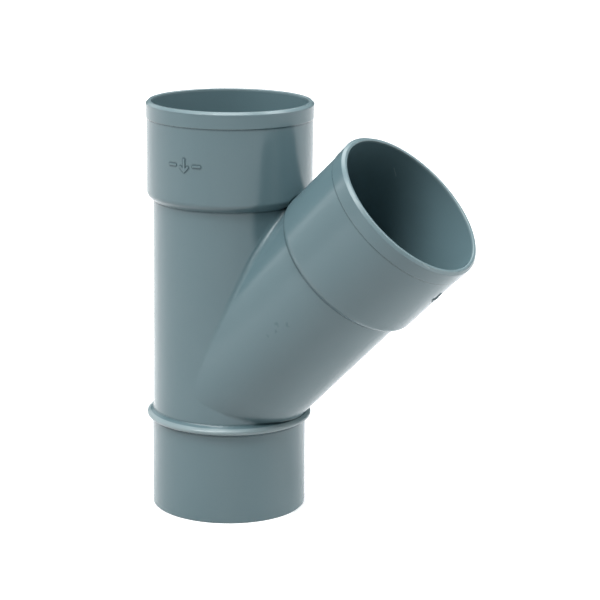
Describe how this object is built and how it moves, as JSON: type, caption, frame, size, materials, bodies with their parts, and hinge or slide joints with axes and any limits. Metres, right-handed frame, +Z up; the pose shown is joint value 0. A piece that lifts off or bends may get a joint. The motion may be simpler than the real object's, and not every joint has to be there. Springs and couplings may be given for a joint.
{
  "type": "lateral wye pipe fitting",
  "caption": "Moulded plastic drain pipe wye: a straight run with a beaded spigot and a banded socket, and a slanted branch with a banded socket.",
  "frame": {"origin": "centre of the spigot's end face", "axes": "+Z up the run axis towards the run socket, +X towards the side that the branch leans to, Y across the plane of the two axes"},
  "size_m": [0.1664, 0.0804, 0.1999],
  "materials": {
    "grey_pvc": "satin, injection moulded"
  },
  "bodies": {
    "root": {"wye_body": "grey_pvc"}
  },
  "joints": []
}
